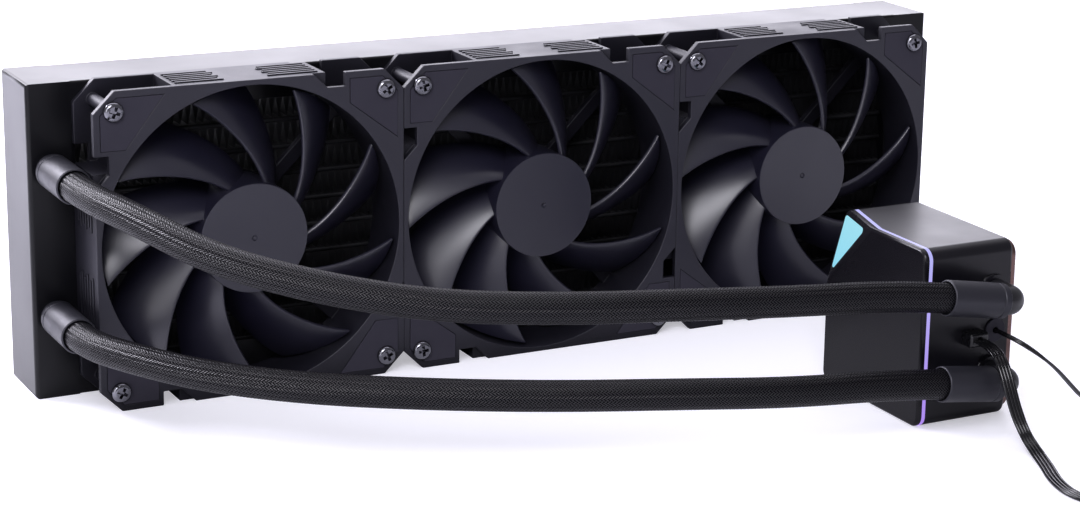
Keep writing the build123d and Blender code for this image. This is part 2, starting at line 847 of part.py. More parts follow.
can_floor_x = chamber_x - can_length + can_wall
with BuildPart() as pump_shaft:
    with BuildSketch(pump_plane(can_floor_x - 0.7 * can_wall)):
        Circle(impeller_shaft_radius)
    extrude(amount=impeller_length + 0.7 * can_wall + 2 * impeller_gap)
write("pump_shaft", pump_shaft)

disc_x = chamber_x + chamber_plate + impeller_gap
with BuildPart() as impeller:
    with BuildSketch(pump_plane(can_floor_x + impeller_gap)):
        Circle(can_radius - can_wall - impeller_gap)
    extrude(amount=disc_x - can_floor_x - impeller_gap)
    with BuildSketch(pump_plane(disc_x)):
        Circle(impeller_radius)
    extrude(amount=vane_thick)
    with BuildSketch(pump_plane(disc_x + vane_thick)):
        with PolarLocations(0, vane_count):
            with Locations((impeller_radius / 2, impeller_radius / 4)):
                Rectangle(0.8 * impeller_radius, vane_thick, rotation=18)
        Circle(3 * impeller_shaft_radius)
        Circle(impeller_radius, mode=Mode.INTERSECT)
    extrude(amount=can_floor_x + impeller_length - disc_x - vane_thick)
    with BuildSketch(pump_plane(can_floor_x)):
        Circle(impeller_shaft_radius + running_gap)
    extrude(amount=pump_depth, mode=Mode.SUBTRACT)
write("pump_impeller", impeller)

with BuildPart() as stator:
    with BuildSketch(pump_plane(chamber_x - can_length)):
        Circle(stator_radius)
        Circle(can_radius + mouth_gap, mode=Mode.SUBTRACT)
        with PolarLocations(can_radius + slot_depth, stator_slots):
            Rectangle(slot_depth, slot_width, mode=Mode.SUBTRACT)
    extrude(amount=can_length - 1)
write("pump_stator", stator)

with BuildPart() as board:
    with BuildSketch(pump_plane(cavity_x + board_post_height)):
        Circle(board_radius)
    extrude(amount=board_thick)
write("pump_board", board)

with BuildPart() as cold_plate:
    with BuildSketch(pump_plane(pump_back_x)):
        RectangleRounded(pump_width - 2 * plate_inset, pump_height - 2 * plate_inset, plate_corner)
    extrude(amount=plate_thick)
    chamfer(cold_plate.faces().sort_by(Axis.X)[-1].edges(), plate_edge)
    with BuildSketch(pump_plane(pump_back_x)):
        Rectangle(fin_block, fin_block)
        with GridLocations(fin_block / fin_slots, 1, fin_slots, 1):
            Rectangle(fin_block / fin_slots / 2, fin_block + oversize, mode=Mode.SUBTRACT)
    extrude(amount=-fin_block_height)
    with BuildSketch(pump_plane(pump_back_x)):
        with GridLocations(*screw_grid, 2, 2):
            Circle(plate_screw_shank + seat_gap)
    extrude(amount=plate_thick, mode=Mode.SUBTRACT)
    with BuildSketch(pump_plane(pump_back_x + plate_thick)):
        with GridLocations(*screw_grid, 2, 2):
            Circle(plate_screw_head + seat_gap)
    extrude(amount=-plate_screw_sink, mode=Mode.SUBTRACT)
write("pump_cold_plate", cold_plate)

with BuildPart() as plate_screws:
    with BuildSketch(pump_plane(pump_back_x + plate_thick - plate_screw_sink)):
        with GridLocations(*screw_grid, 2, 2):
            Circle(plate_screw_head)
    extrude(amount=0.8 * plate_screw_sink)
    with BuildSketch(pump_plane(pump_back_x + plate_thick - plate_screw_sink)):
        with GridLocations(*screw_grid, 2, 2):
            Circle(plate_screw_shank)
    extrude(amount=-(plate_thick + 0.7 * plate_screw_length - plate_screw_sink))
write("pump_plate_screws", plate_screws)


# Cable exits: a round grommet for the thin lead and a plug for the four-wire ribbon
with BuildPart() as grommet:
    with BuildSketch(face_plane(-pocket_depth)):
        with Locations(lead_exit):
            Circle(grommet_radius)
            Circle(lead_diameter / 2 + seat_gap, mode=Mode.SUBTRACT)
    extrude(amount=pocket_depth - housing_wall)
    with BuildSketch(face_plane(-pocket_depth)):
        with Locations(lead_exit):
            Circle(grommet_radius + grommet_lip)
            Circle(lead_diameter / 2 + seat_gap, mode=Mode.SUBTRACT)
    extrude(amount=grommet_lip)
write("cable_grommet", grommet)

with BuildPart() as ribbon_plug:
    with BuildSketch(face_plane(ribbon_plug_out)):
        with Locations(ribbon_exit):
            Rectangle(*ribbon_plug_size)
    extrude(amount=-(ribbon_plug_out + housing_wall))
    chamfer(ribbon_plug.faces().sort_by(Axis.Y)[0].edges(), ribbon_plug_edge)
    with BuildSketch(face_plane(ribbon_plug_out)):
        with Locations(ribbon_exit):
            Circle(ribbon_thick / 2 + seat_gap)
    extrude(amount=-ribbon_entry - seat_gap, mode=Mode.SUBTRACT)
write("ribbon_plug", ribbon_plug)

# Visible stretches. Their spare length lies on the table in a stacked coil each,
# drawn as the ring that the turns fill, with a short tail that ends in a connector.
lead_route = [
    (lead_exit[0], pump_near_y + 1.0, lead_exit[1]),
    (lead_exit[0], -191.5, lead_exit[1]),
    (119.0, -197.5, lead_exit[1] - 2.0),
    (126.0, -199.6, lead_exit[1] - 7.0),
    (135.0, -198.6, lead_exit[1] - 14.0),
    (143.5, -196.4, 12.2),
    (152.0, -194.0, 4.8),
    (160.0, -192.4, 1.3),
    (171.0, -191.7, 1.2),
    (181.5, -191.5, 1.2),
]
cord("cable_lead", lead_route, lead_diameter)

ribbon_route = [
    (ribbon_exit[0], pump_near_y - ribbon_plug_out + ribbon_entry, ribbon_exit[1]),
    (ribbon_exit[0], -196.5, ribbon_exit[1]),
    (104.0, -204.5, ribbon_exit[1] - 3.0),
    (103.8, -210.0, ribbon_exit[1] - 10.5),
    (105.2, -213.0, 13.0),
    (106.5, -218.0, 5.0),
    (105.5, -226.0, 1.6),
    (100.5, -239.0, 1.4),
    (94.5, -251.5, 1.4),
    (91.5, -265.0, 1.4),
    (95.6, -277.0, 1.4),
    (105.1, -286.6, 1.4),
]
cord("cable_ribbon", ribbon_route, ribbon_thick)


def coil(name, middle, radius, width, height, end_angle, tail):
    """A ring on the table round middle, with a tail that leaves it at end_angle.

    The tail is its length, its diameter, and its height at the ring and at its end.
    """
    tail_length, tail_diameter, tail_from, tail_to = tail
    out = (math.cos(math.radians(end_angle)), math.sin(math.radians(end_angle)))
    way = Vector(-out[1], out[0], 0)
    start = Vector(middle[0] + radius * out[0], middle[1] + radius * out[1], tail_from)
    finish = start + way * tail_length
    finish.Z = tail_to
    with BuildPart() as ring:
        with BuildSketch(Plane.XY):
            with Locations(middle):
                Circle(radius + width / 2)
                Circle(radius - width / 2, mode=Mode.SUBTRACT)
        extrude(amount=height)
        with BuildSketch(Plane(origin=start, z_dir=finish - start)):
            Circle(tail_diameter / 2)
        extrude(amount=(finish - start).length)
    write(name, ring)
    return finish + way * connector_gap, way


def connector(name, start, way, size):
    """A small connector body that lies on the table, from start along way."""
    across = way.cross(Vector(0, 0, 1))
    with BuildPart() as body:
        with BuildSketch(Plane(origin=start, x_dir=across, z_dir=way)):
            with Locations((0, size[1] / 2 - start.Z)):
                Rectangle(size[0], size[1])
        extrude(amount=size[2])
        chamfer(body.faces().sort_by(Axis.Z)[-1].edges(), connector_edge)
    write(name, body)


lead_width = 1.2 * lead_diameter
lead_height = (lead_coil_turns + 1) * 1.04 * lead_diameter
lead_tail_sizes = (lead_tail, lead_diameter, lead_coil_turns * lead_diameter, lead_connector_size[1] / 2)
start, way = coil(
    "cable_lead_coil", lead_coil_middle, lead_coil_radius, lead_width, lead_height, 0, lead_tail_sizes
)
connector("lead_connector", start, way, lead_connector_size)

ribbon_height = (ribbon_coil_turns + 1) * ribbon_layer
ribbon_tail_sizes = (ribbon_tail, ribbon_thick, ribbon_coil_turns * ribbon_layer, ribbon_connector_size[1] / 2)
start, way = coil(
    "cable_ribbon_coil", ribbon_coil_middle, ribbon_coil_radius, 1.1 * ribbon_width, ribbon_height,
    ribbon_end_angle, ribbon_tail_sizes,
)
connector("ribbon_connector", start, way, ribbon_connector_size)
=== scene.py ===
"""An all in one liquid cooler for a processor, standing on a white table.

Everything is in metres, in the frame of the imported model: +X along the radiator towards the
pump block, +Y from the fans through the radiator, +Z up, and the origin on the table.
"""
import json
import math

import bmesh
import bpy
import numpy as np
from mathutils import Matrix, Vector


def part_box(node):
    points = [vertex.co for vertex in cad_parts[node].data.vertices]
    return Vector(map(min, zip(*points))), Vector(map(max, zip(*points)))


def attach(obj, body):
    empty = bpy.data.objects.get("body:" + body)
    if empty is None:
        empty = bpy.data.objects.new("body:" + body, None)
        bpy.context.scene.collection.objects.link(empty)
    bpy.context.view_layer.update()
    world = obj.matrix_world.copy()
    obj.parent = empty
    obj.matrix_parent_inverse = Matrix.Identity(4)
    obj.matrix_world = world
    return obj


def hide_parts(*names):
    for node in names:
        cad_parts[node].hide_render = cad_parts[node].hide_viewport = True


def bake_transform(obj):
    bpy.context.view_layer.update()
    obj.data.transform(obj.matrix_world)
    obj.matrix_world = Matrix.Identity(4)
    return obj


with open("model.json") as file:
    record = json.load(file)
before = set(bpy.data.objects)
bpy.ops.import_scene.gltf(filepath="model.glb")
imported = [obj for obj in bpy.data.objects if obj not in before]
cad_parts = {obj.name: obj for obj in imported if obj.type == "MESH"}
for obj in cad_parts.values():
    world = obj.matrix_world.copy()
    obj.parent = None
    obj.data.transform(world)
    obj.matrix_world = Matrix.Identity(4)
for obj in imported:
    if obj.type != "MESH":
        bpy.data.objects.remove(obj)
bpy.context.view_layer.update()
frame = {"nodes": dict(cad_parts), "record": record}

MM = 0.001
body_nodes = frame["record"]["behaviour"]["bodies"]
body_of = {node: body for body, nodes in body_nodes.items() for node in nodes}


# Selecting and finishing a mesh

def take(piece):
    """Makes one object the only selected and active one."""
    for other in bpy.context.selected_objects:
        other.select_set(False)
    piece.select_set(True)
    bpy.context.view_layer.objects.active = piece


def apply_modifier(piece, kind, **settings):
    """Adds one modifier with its settings and applies it."""
    take(piece)
    modifier = piece.modifiers.new(kind.lower(), kind)
    for name, value in settings.items():
        setattr(modifier, name, value)
    bpy.ops.object.modifier_apply(modifier=modifier.name)


# Degrees by which a face turns from its neighbour where an edge counts as sharp
SHARP_TURN = 35


def round_edges(piece, width, turn=SHARP_TURN):
    """Rounds every edge that turns by more than turn degrees, by width in millimetres."""
    apply_modifier(
        piece, "BEVEL", width=width * MM, segments=2, limit_method="ANGLE",
        angle_limit=math.radians(turn), use_clamp_overlap=False,
    )


def shade(piece, turn=SHARP_TURN):
    """Smooths what turns by less than turn degrees, and keeps flat faces flat beside it."""
    take(piece)
    bpy.ops.object.shade_smooth_by_angle(angle=math.radians(turn))
    apply_modifier(piece, "WEIGHTED_NORMAL", keep_sharp=True)


def settle(piece):
    """Moves a piece's place, turn and scale into its mesh."""
    take(piece)
    bpy.ops.object.transform_apply(location=True, rotation=True, scale=True)


def join(pieces, name):
    """Joins several meshes into the first one and names it."""
    take(pieces[0])
    for piece in pieces[1:]:
        piece.select_set(True)
    bpy.ops.object.join()
    pieces[0].name = name
    return pieces[0]


def wear(piece, finish, node):
    """Gives a piece its material, and the body of the node that it stands for."""
    piece.data.materials.clear()
    piece.data.materials.append(finish)
    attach(piece, body_of[node])


# Millimetres within which points are welded, and degrees under which faces count as one
WELD_REACH = 0.002
FLAT_TURN = 0.5


def dressed(node, finish, edge=0.0, reshape=None):
    """A copy of a CAD node with welded faces, edges rounded by edge millimetres, and smooth shading."""
    piece = bpy.data.objects.new(node + "_dressed", frame["nodes"][node].data.copy())
    bpy.context.scene.collection.objects.link(piece)
    take(piece)
    bpy.ops.object.mode_set(mode="EDIT")
    bpy.ops.mesh.select_all(action="SELECT")
    bpy.ops.mesh.remove_doubles(threshold=WELD_REACH * MM)
    bpy.ops.mesh.dissolve_limited(angle_limit=math.radians(FLAT_TURN))
    bpy.ops.object.mode_set(mode="OBJECT")
    if reshape:
        reshape(piece)
    if edge:
        round_edges(piece, edge)
    shade(piece)
    wear(piece, finish, node)
    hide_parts(node)
    return piece


def widen(piece, amount):
    """Grows a flat pad sideways by amount in millimetres, and keeps its thickness along Y."""
    depths = [point.co.y for point in piece.data.vertices]
    take(piece)
    bpy.ops.object.mode_set(mode="EDIT")
    bpy.ops.mesh.select_all(action="SELECT")
    bpy.ops.transform.shrink_fatten(value=amount * MM, use_even_offset=True)
    bpy.ops.object.mode_set(mode="OBJECT")
    for point, depth in zip(piece.data.vertices, depths):
        point.co.y = depth


# Material nodes

def linear(hex_colour):
    """An sRGB hex colour as linear RGBA."""
    values = [int(hex_colour[i:i + 2], 16) / 255 for i in (1, 3, 5)]
    return (*[v / 12.92 if v <= 0.04045 else ((v + 0.055) / 1.055) ** 2.4 for v in values], 1.0)


def add_node(tree, kind, inputs=None, **settings):
    """Adds a node, sets its properties, and fills its sockets with values or links."""
    new = tree.nodes.new(kind)
    for name, value in settings.items():
        setattr(new, name, value)
    for socket, value in (inputs or {}).items():
        if isinstance(value, bpy.types.NodeSocket):
            tree.links.new(value, new.inputs[socket])
        else:
            new.inputs[socket].default_value = value
    return new


def material(name, colour, **sockets):
    """A Principled material of one colour, and its tree and shader for what is added to it."""
    made = bpy.data.materials.new(name)
    made.use_nodes = True
    tree = made.node_tree
    shader = tree.nodes["Principled BSDF"]
    shader.inputs["Base Color"].default_value = linear(colour)
    for socket, value in sockets.items():
        shader.inputs[socket].default_value = value
    return made, tree, shader


def place(tree):
    """Coordinates in metres that stay fixed to the piece."""
    return add_node(tree, "ShaderNodeTexCoord").outputs["Object"]


GRAIN_DETAIL = 3.0
PATCH_DETAIL = 4.0
# Between these values lie nearly all of a noise's patches
PATCH_LOW, PATCH_HIGH = 0.3, 0.7
TINT_LOW, TINT_HIGH = 0.35, 0.65


def speckle(tree, size, detail):
    """Noise with patches of size millimetres, fixed to the piece."""
    return add_node(
        tree, "ShaderNodeTexNoise", {"Vector": place(tree), "Scale": 1 / (size * MM), "Detail": detail}
    ).outputs["Fac"]


def raised(tree, shader, height, depth, strength):
    """Relief up to depth millimetres high where height is 1."""
    inputs = {"Height": height, "Distance": depth * MM, "Strength": strength}
    bump = add_node(tree, "ShaderNodeBump", inputs)
    tree.links.new(bump.outputs["Normal"], shader.inputs["Normal"])


def grain(tree, shader, size, depth, strength):
    """Fine relief: bumps of size millimetres across and depth millimetres high."""
    raised(tree, shader, speckle(tree, size, GRAIN_DETAIL), depth, strength)


def spread(tree, value, start, end, low, high):
    """Value stretched so that start gives low and end gives high."""
    return add_node(
        tree, "ShaderNodeMapRange",
        {"Value": value, "From Min": start, "From Max": end, "To Min": low, "To Max": high},
    ).outputs["Result"]


def uneven(tree, shader, low, high, size):
    """Roughness that drifts between low and high over patches of size millimetres."""
    patches = speckle(tree, size, PATCH_DETAIL)
    roughness = spread(tree, patches, PATCH_LOW, PATCH_HIGH, low, high)
    tree.links.new(roughness, shader.inputs["Roughness"])


def between(tree, share, dark, light, start=0.0, end=1.0):
    """A colour that goes from dark to light while share goes from start to end."""
    ramp = add_node(tree, "ShaderNodeValToRGB", {"Fac": share})
    ends = ramp.color_ramp.elements
    ends[0].position, ends[0].color = start, linear(dark)
    ends[1].position, ends[1].color = end, linear(light)
    return ramp.outputs["Color"]


def tinted(tree, shader, dark, light, size):
    """Base colour that drifts between two colours over patches of size millimetres."""
    patches = speckle(tree, size, PATCH_DETAIL)
    colour = between(tree, patches, dark, light, TINT_LOW, TINT_HIGH)
    tree.links.new(colour, shader.inputs["Base Color"])


def math_step(tree, operation, first, second=0.0):
    """One sum on one or two values or links."""
    return add_node(tree, "ShaderNodeMath", {0: first, 1: second}, operation=operation).outputs[0]


# Shares of open sky at which the painted shade in a recess is darkest and where it ends
SKY_CLOSED, SKY_OPEN = 0.5, 0.95
# Colour scale where the painted shade is darkest, and the gloss where no shade is painted
DEEPEST_SHADE_SCALE = 0.42
FULL_SHINE = 0.5


def paint_recess_shade(tree, shader, reach):
    """Paints shade: darkens the colour and dulls the gloss of what lies deep between its neighbours, as
    seen from within reach millimetres.
    """
    ambient = add_node(tree, "ShaderNodeAmbientOcclusion", {"Distance": reach * MM}, samples=8)
    level = spread(tree, ambient.outputs["AO"], SKY_CLOSED, SKY_OPEN, DEEPEST_SHADE_SCALE, 1.0)
    colour = shader.inputs["Base Color"].links[0].from_socket
    dimmed = add_node(tree, "ShaderNodeVectorMath", {0: colour, "Scale": level}, operation="SCALE")
    tree.links.new(dimmed.outputs["Vector"], shader.inputs["Base Color"])
    gloss = math_step(tree, "MULTIPLY", level, FULL_SHINE)
    tree.links.new(gloss, shader.inputs["Specular IOR Level"])


# Finishes of the cooler, named for what they are

def baked_paint():
    """Sprayed black paint baked on aluminium: nearly black, but its satin skin mirrors the room."""
    made, tree, shader = material("baked_black_paint", "#08080B", **{"IOR": 1.32})
    uneven(tree, shader, 0.28, 0.34, 40)
    grain(tree, shader, 0.5, 0.01, 0.15)
    return made


def core_paint():
    """The same black on the folded fins and tubes, thinner and duller."""
    made, tree, shader = material("dipped_black_core", "#101013", **{"IOR": 1.5})
    uneven(tree, shader, 0.42, 0.6, 9)
    tinted(tree, shader, "#08080B", "#111115", 14)
    return made


def glass_filled_plastic():
    """Glass filled nylon as moulded: a dark blue grey with a dry, even mould grain, and painted shade
    that darkens and dulls it in recesses.
    """
    made, tree, shader = material("moulded_fan_frame", "#1E1D27", **{"IOR": 1.5})
    uneven(tree, shader, 0.44, 0.54, 18)
    tinted(tree, shader, "#1D1C26", "#201F29", 25)
    paint_recess_shade(tree, shader, 25)
    grain(tree, shader, 0.25, 0.03, 0.35)
    return made


def blade_plastic():
    """Moulded blade plastic: smoother than the frame, with a broad soft sheen."""
    made, tree, shader = material("moulded_fan_blade", "#191825", **{"IOR": 1.64})
    uneven(tree, shader, 0.3, 0.38, 22)
    grain(tree, shader, 0.18, 0.02, 0.3)
    return made


def pad_rubber():
    """Moulded silicone rubber: the frame's colour, a shade flatter."""
    made, tree, shader = material("moulded_rubber", "#272530", **{"IOR": 1.42})
    uneven(tree, shader, 0.66, 0.78, 12)
    grain(tree, shader, 0.3, 0.02, 0.3)
    return made


def plated_steel():
    """Nickel plated steel screws: bright, with dull spots."""
    made, tree, shader = material("nickel_plated_screw", "#7C7C82", Metallic=1.0)
    uneven(tree, shader, 0.14, 0.22, 1.6)
    return made


def ground_steel():
    """Ground steel shafts."""
    made, tree, shader = material("ground_steel", "#B4B4B8", Metallic=1.0)
    uneven(tree, shader, 0.12, 0.22, 2)
    return made


def sintered_bronze():
    """Sintered bronze bearings, porous and oily."""
    made, tree, shader = material("sintered_bronze", "#8E6A3E", Metallic=1.0)
    uneven(tree, shader, 0.35, 0.5, 1.5)
    grain(tree, shader, 0.15, 0.03, 0.5)
    return made


WOUND_WIRE = 0.45
# Length of one band of the wave texture at a scale of 1
WAVE_BAND = 0.314


def wound_copper():
    """Enamelled wire wound on motor poles: red brown with a wire's ribbing."""
    made, tree, shader = material("enamelled_copper_wire", "#7A3818", Metallic=0.8)
    scale = WAVE_BAND / (WOUND_WIRE * MM)
    wave = add_node(tree, "ShaderNodeTexWave", {"Vector": place(tree), "Scale": scale})
    raised(tree, shader, wave.outputs["Fac"], 0.1, 0.6)
    uneven(tree, shader, 0.25, 0.4, 2)
    return made


def anodised_ferrule():
    """Bead blasted and anodised aluminium: a silky dark grey."""
    made, tree, shader = material("anodised_ferrule", "#26262D", Metallic=0.35)
    uneven(tree, shader, 0.40, 0.50, 6)
    grain(tree, shader, 0.2, 0.02, 0.3)
    return made


def elbow_plastic():
    """Moulded black elbow with a low sheen."""
    made, tree, shader = material("moulded_elbow", "#131317", **{"IOR": 1.5})
    uneven(tree, shader, 0.36, 0.46, 8)
    grain(tree, shader, 0.25, 0.02, 0.25)
    return made


def pump_lacquer():
    """Black soft lacquer on the pump's housing: satin, with broad grey reflections."""
    made, tree, shader = material("satin_pump_lacquer", "#0B0A10", **{"IOR": 1.36, "Coat Weight": 0.1})
    shader.inputs["Coat Roughness"].default_value = 0.18
    uneven(tree, shader, 0.32, 0.38, 20)
    grain(tree, shader, 0.4, 0.01, 0.2)
    return made


def display_glass():
    """Tinted acrylic over a display that is off: deep grey with a clear gloss."""
    made, tree, shader = material("tinted_display", "#111014", **{"IOR": 1.33})
    uneven(tree, shader, 0.22, 0.28, 30)
    return made


def glow(name, low, high, bottom, top, strength):
    """Lit acrylic whose colour drifts with height, from low at bottom to high at top, in metres."""
    made, tree, shader = material(name, "#14121C", **{"Roughness": 0.4, "Emission Strength": strength})
    height = add_node(tree, "ShaderNodeSeparateXYZ", {"Vector": place(tree)}).outputs["Z"]
    colour = between(tree, spread(tree, height, bottom, top, 0.0, 1.0), low, high)
    tree.links.new(colour, shader.inputs["Emission Color"])
    return made


# Tool marks to the metre: long along X and Y, and a quarter of a millimetre apart along Z
MARKS_TO_METRE = (60, 60, 4000)


def milled_copper():
    """Milled copper cold plate: fine parallel tool marks and a warm tint."""
    made, tree, shader = material("milled_copper", "#735E5A", Metallic=1.0)
    drawn = add_node(tree, "ShaderNodeMapping", {"Vector": place(tree), "Scale": MARKS_TO_METRE})
    marks = add_node(tree, "ShaderNodeTexNoise", {"Vector": drawn.outputs["Vector"], "Scale": 1.0})
    raised(tree, shader, marks.outputs["Fac"], 0.02, 0.4)
    uneven(tree, shader, 0.24, 0.36, 10)
    tinted(tree, shader, "#6B5551", "#7C6661", 16)
    return made


def circuit_board():
    """Solder mask over woven glass."""
    made, tree, shader = material("solder_mask_green", "#0B3A1E", **{"Coat Weight": 0.5})
    tinted(tree, shader, "#0A341B", "#0E4726", 3)
    uneven(tree, shader, 0.25, 0.4, 5)
    return made


def cable_jacket():
    """Extruded black vinyl: smooth, with a soft shine along each wire."""
    made, tree, shader = material("vinyl_cable_jacket", "#0E0E10", **{"IOR": 1.5})
    uneven(tree, shader, 0.14, 0.2, 12)
    grain(tree, shader, 0.5, 0.02, 0.2)
    return made


def plug_nylon():
    """Moulded nylon of plugs and connectors."""
    made, tree, shader = material("moulded_connector", "#0F0F12", **{"IOR": 1.53})
    uneven(tree, shader, 0.22, 0.34, 4)
    return made


FILAMENTS = 4
FILAMENT_RISE = 0.18
# Heights of a strand below which its gloss is cut as painted shade in the crevices and where its shine
# is full, and the gloss there
SHINE_START, SHINE_FULL = 0.7, 1.1
CREVICE_SHADE_GLOSS, SHINIEST = 0.02, 0.85


def braided_nylon():
    """Black nylon braid, two over and two under: each strand is a few shiny filaments side by side.

    The UV map counts braid cells round and along the hose, so strands run along its diagonals. Painted
    shade darkens and dulls the crevices between strands.
    """
    made, tree, shader = material("braided_nylon", "#121214", **{"IOR": 1.5})
    shader.inputs["Roughness"].default_value = 0.28
    uv = add_node(tree, "ShaderNodeUVMap", uv_map="braid")
    cells = add_node(tree, "ShaderNodeSeparateXYZ", {"Vector": uv.outputs["UV"]})
    right = math_step(tree, "ADD", cells.outputs["X"], cells.outputs["Y"])
    left = math_step(tree, "SUBTRACT", cells.outputs["X"], cells.outputs["Y"])
    row = math_step(tree, "FLOOR", right)
    column = math_step(tree, "FLOOR", left)
    turn = math_step(tree, "FLOORED_MODULO", math_step(tree, "ADD", row, column), 4.0)
    over = math_step(tree, "LESS_THAN", turn, 1.5)
    across = add_node(
        tree, "ShaderNodeMix", {"Factor": over, "A": right, "B": left}, data_type="FLOAT"
    ).outputs[0]
    ribs = math_step(tree, "SINE", math_step(tree, "MULTIPLY", across, 2 * math.pi * FILAMENTS))
    share = math_step(tree, "FRACT", across)
    crown = math_step(tree, "SINE", math_step(tree, "MULTIPLY", share, math.pi))
    height = math_step(tree, "ADD", math_step(tree, "MULTIPLY", ribs, FILAMENT_RISE), crown)
    raised(tree, shader, height, 0.12, 0.8)
    # Painted shade: the crevices between strands are coloured darker and their gloss is cut, while the
    # crowns are lighter and glossier
    colour = between(tree, height, "#040405", "#161519", 0.15, 1.0)
    tree.links.new(colour, shader.inputs["Base Color"])
    gloss = spread(tree, height, SHINE_START, SHINE_FULL, CREVICE_SHADE_GLOSS, SHINIEST)
    tree.links.new(gloss, shader.inputs["Specular IOR Level"])
    return made


CAMERA_GLOW = 0.46


def white_table():
    """A plain white sweep, a touch overexposed where the camera sees it."""
    made, tree, shader = material("white_table", "#D9D9DF", **{"Roughness": 0.6})
    shader.inputs["Specular IOR Level"].default_value = 0.2
    shader.inputs["Emission Color"].default_value = linear("#F8F7FF")
    seen = add_node(tree, "ShaderNodeLightPath").outputs["Is Camera Ray"]
    tree.links.new(math_step(tree, "MULTIPLY", seen, CAMERA_GLOW), shader.inputs["Emission Strength"])
    return made


paint = baked_paint()
core_black = core_paint()
frame_plastic = glass_filled_plastic()
blade_black = blade_plastic()
rubber = pad_rubber()
screw_plate = plated_steel()
steel = ground_steel()
bronze = sintered_bronze()
winding = wound_copper()
ferrule_grey = anodised_ferrule()
elbow_black = elbow_plastic()
lacquer = pump_lacquer()
display = display_glass()
copper = milled_copper()
board_green = circuit_board()
vinyl = cable_jacket()
nylon = plug_nylon()
braid = braided_nylon()


# The camera stands where the photograph was taken from, and lights fill a white room

def make_camera():
    """A long lens from the left and a little above, fitted to the screws and hubs of the fans."""
    data = bpy.data.cameras.new("camera")
    data.sensor_width = 36
    data.lens = 86.87
    data.shift_x = -0.1392
    data.shift_y = -0.0396
    camera = bpy.data.objects.new("camera", data)
    bpy.context.scene.collection.objects.link(camera)
    azimuth, elevation, roll = math.radians(-30.336), math.radians(14.732), math.radians(1.670)
    back = Vector((
        math.sin(azimuth) * math.cos(elevation),
        -math.cos(azimuth) * math.cos(elevation),
        math.sin(elevation),
    ))
    turn = back.to_track_quat("Z", "Y").to_matrix()
    level = Vector((math.cos(azimuth), math.sin(azimuth), 0))
    up = back.cross(level)
    right = level * math.cos(roll) + up * math.sin(roll)
    turn.col[0] = right
    turn.col[1] = back.cross(right)
    turn.col[2] = back
    camera.rotation_euler = turn.to_euler()
    camera.location = (-0.450955, -0.925815, 0.320242)
    data.clip_start = 0.01
    data.clip_end = 50
    bpy.context.scene.camera = camera


LAVENDER = (0.91, 0.89, 1.0)


def softbox(name, at, aim, size, power, colour):
    """A rectangular light at one place that faces another, in metres and watts."""
    data = bpy.data.lights.new(name, "AREA")
    data.shape = "RECTANGLE"
    data.size, data.size_y = size
    data.energy = power
    data.color = colour
    light = bpy.data.objects.new(name, data)
    bpy.context.scene.collection.objects.link(light)
    light.location = at
    light.rotation_euler = (Vector(aim) - Vector(at)).to_track_quat("-Z", "Y").to_euler()


def make_room():
    """A white table in a dim lavender room with five soft lights."""
    bpy.ops.mesh.primitive_plane_add(size=16, location=(0, 0, 0))
    floor = bpy.context.active_object
    floor.name = "table"
    floor.data.materials.append(white_table())
    world = bpy.data.worlds.new("room")
    world.use_nodes = True
    background = world.node_tree.nodes["Background"]
    background.inputs["Color"].default_value = (*LAVENDER, 1.0)
    background.inputs["Strength"].default_value = 0.3
    bpy.context.scene.world = world
    softbox("top_box", (0.1, 0.35, 1.5), (0, -0.02, 0), (2.2, 1.4), 14, (0.94, 0.92, 1.0))
    softbox("back_box", (0.2, 1.9, 0.9), (0, 0, 0.1), (3.0, 1.4), 50, LAVENDER)
    softbox("floor_box", (-0.6, 0.6, 0.6), (-0.5, 0.4, 0), (0.5, 0.5), 20, LAVENDER)
    softbox("side_box", (-1.4, -0.95, 0.45), (-0.15, -0.05, 0.06), (0.8, 0.8), 5, (0.96, 0.94, 1.0))
    softbox("key_box", (-0.8, -1.15, 1.15), (-0.05, -0.1, 0.05), (0.9, 0.7), 22, (0.94, 0.93, 1.0))
    view = bpy.context.scene.view_settings
    view.view_transform = "Standard"
    view.look = "None"
    view.exposure = 0.0
    view.gamma = 1.0


make_camera()
make_room()


# Radiator: painted tanks and rails round a core of flat tubes and fine folded fins

for part in ("left_tank", "right_tank", "upper_rail", "lower_rail", "headers"):
    dressed("radiator_" + part, paint)
dressed("radiator_tubes", core_black, 0.7)

# Folds wider than real ones, which would take many more faces
FIN_PITCH = 3.0
FIN_THICK = 0.15
FIN_STRIPS = 11
TUBE_THICK = 2.0


def make_fins():
    """Strips of thin foil, folded to and fro between the tubes."""
    low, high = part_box("radiator_fins")
    pitch = (high.z - low.z + TUBE_THICK * MM) / FIN_STRIPS
    folds = round((high.x - low.x) / (FIN_PITCH / 2 * MM))
    step = (high.x - low.x) / folds
    pieces = []
    for strip in range(FIN_STRIPS):
        bottom = low.z + pitch * strip
        top = bottom + pitch - TUBE_THICK * MM
        bpy.ops.mesh.primitive_grid_add(x_subdivisions=folds, y_subdivisions=1, size=1)
        foil = bpy.context.active_object
        for point in foil.data.vertices:
            index = round((point.co.x + 0.5) * folds)
            side = low.y if point.co.y < 0 else high.y
            point.co = (low.x + step * index, side, bottom if index % 2 else top)
        pieces.append(foil)
    fins = join(pieces, "radiator_fins_folded")
    apply_modifier(fins, "SOLIDIFY", thickness=FIN_THICK * MM, offset=0)
    wear(fins, core_black, "radiator_fins")
    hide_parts("radiator_fins")


make_fins()


# Fans

FAN_SIZE = 120.0
BLADES = 9
HUB_RADIUS = 20.9
TIP_RADIUS = 56.8
BLADE_FRONT = 3.0
BLADE_BACK = 20.3
BLADE_CAMBER = 2.2
BLADE_THICK = 1.5
BLADE_SINK = 1.0
BLADE_ROUND = 0.45
BLADE_GRID = (16, 14)
HUB_WALL = 1.6
HUB_ROUND = 0.4
DIMPLE_RADIUS = 0.9
DIMPLE_DEPTH = 0.35
# A face whose normal has this share of an axis counts as facing along it
FACING = 0.9
